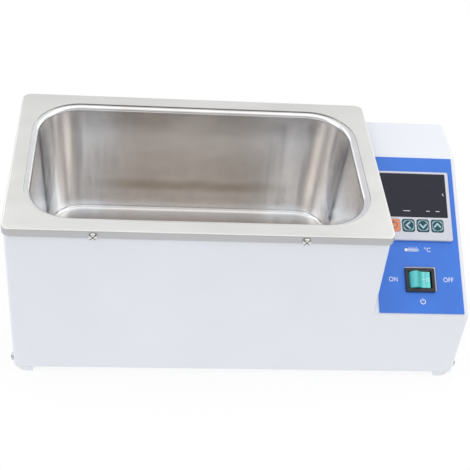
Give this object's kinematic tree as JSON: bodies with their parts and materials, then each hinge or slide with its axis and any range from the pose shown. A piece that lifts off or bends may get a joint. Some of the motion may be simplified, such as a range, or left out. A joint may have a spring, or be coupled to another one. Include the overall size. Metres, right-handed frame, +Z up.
{
  "type": "laboratory water bath",
  "caption": "Bench-top water bath: drawn steel tank with a rounded opening in a white casing, and a control box with a sloped panel beside it.",
  "frame": {"origin": "on the surface it stands on, under the middle of the body", "axes": "+X runs from the tank to the control box, +Y from the front to the back, +Z up"},
  "size_m": [0.4342, 0.2134, 0.1805],
  "materials": {
    "white_paint": "smooth white powder coat",
    "satin_steel": "fine brushed stainless",
    "drawn_steel": "deep-drawn stainless, satin with faint draw marks",
    "bright_steel": "bright stainless screws and probe",
    "zinc_steel": "dull zinc plate",
    "blue_film": "printed blue overlay film",
    "grey_plastic": "pale grey moulding",
    "black_plastic": "black moulding",
    "white_plastic": "white moulding",
    "window_film": "smoked display window",
    "orange_key": "orange key cap",
    "teal_key": "dark teal key cap",
    "green_rocker": "translucent green rocker",
    "brass": "plain brass",
    "cast_aluminium": "cast heater plate",
    "ceramic": "cream terminal block",
    "mineral_wool": "mineral wool",
    "board_green": "green circuit board",
    "glass": "clear fuse body",
    "red_wire": "red wire insulation",
    "blue_wire": "blue wire insulation",
    "green_wire": "green wire insulation",
    "white_wire": "white heater lead sleeve"
  },
  "bodies": {
    "housing": {"casing": "white_paint", "rim_plate": "satin_steel", "tank_pan": "drawn_steel", "heater_plate": "cast_aluminium", "heater_retainer": "zinc_steel", "heater_nut_left": "zinc_steel", "heater_nut_right": "zinc_steel", "temperature_probe": "bright_steel", "insulation_wrap": "mineral_wool", "insulation_pad": "mineral_wool", "base_plate": "white_paint", "partition": "zinc_steel", "panel_overlay": "blue_film", "controller_bezel": "grey_plastic", "display_window": "window_film", "controller_board": "board_green", "controller_case": "black_plastic", "controller_clip_left": "black_plastic", "controller_clip_right": "black_plastic", "switch_frame": "black_plastic", "switch_tab_in": "brass", "switch_tab_out": "brass", "inlet_housing": "black_plastic", "inlet_pin_live": "brass", "inlet_pin_neutral": "brass", "inlet_pin_earth": "brass", "inlet_screw_left": "zinc_steel", "inlet_screw_right": "zinc_steel", "terminal_block": "ceramic", "earth_screw": "brass", "wire_live": "red_wire", "wire_switched": "red_wire", "wire_neutral": "blue_wire", "wire_earth": "green_wire", "heater_lead_front": "white_wire", "heater_lead_rear": "white_wire", "probe_cable": "black_plastic", "foot_front_left": "white_plastic", "foot_screw_front_left": "zinc_steel", "rim_screw_front_left": "bright_steel", "side_screw_front_left": "zinc_steel", "foot_rear_left": "white_plastic", "foot_screw_rear_left": "zinc_steel", "rim_screw_rear_left": "bright_steel", "side_screw_rear_left": "zinc_steel", "foot_front_right": "white_plastic", "foot_screw_front_right": "zinc_steel", "rim_screw_front_right": "bright_steel", "side_screw_front_right": "zinc_steel", "foot_rear_right": "white_plastic", "foot_screw_rear_right": "zinc_steel", "rim_screw_rear_right": "bright_steel", "side_screw_rear_right": "zinc_steel"},
    "rocker": {"rocker": "green_rocker"},
    "key_set": {"key_set": "orange_key"},
    "key_shift": {"key_shift": "teal_key"},
    "key_down": {"key_down": "teal_key"},
    "key_up": {"key_up": "teal_key"},
    "fuse_drawer": {"fuse_drawer": "black_plastic", "fuse": "glass"}
  },
  "joints": [
    {"name": "rocker_pivot", "type": "hinge", "parent": "housing", "child": "rocker", "pos_m": [0.16875, -0.06997, 0.09805], "axis": [0, -0.8777, -0.4793], "range_deg": [0, 33]},
    {"name": "key_set_press", "type": "slide", "parent": "housing", "child": "key_set", "axis": [0, 0.4793, -0.8777], "range_m": [0, 0.0006], "stiffness_N_per_m": 400, "springref_m": -0.0005},
    {"name": "key_shift_press", "type": "slide", "parent": "housing", "child": "key_shift", "axis": [0, 0.4793, -0.8777], "range_m": [0, 0.0006], "stiffness_N_per_m": 400, "springref_m": -0.0005},
    {"name": "key_down_press", "type": "slide", "parent": "housing", "child": "key_down", "axis": [0, 0.4793, -0.8777], "range_m": [0, 0.0006], "stiffness_N_per_m": 400, "springref_m": -0.0005},
    {"name": "key_up_press", "type": "slide", "parent": "housing", "child": "key_up", "axis": [0, 0.4793, -0.8777], "range_m": [0, 0.0006], "stiffness_N_per_m": 400, "springref_m": -0.0005},
    {"name": "fuse_drawer_slide", "type": "slide", "parent": "housing", "child": "fuse_drawer", "axis": [0, 1, 0], "range_m": [0, 0.0165]}
  ]
}
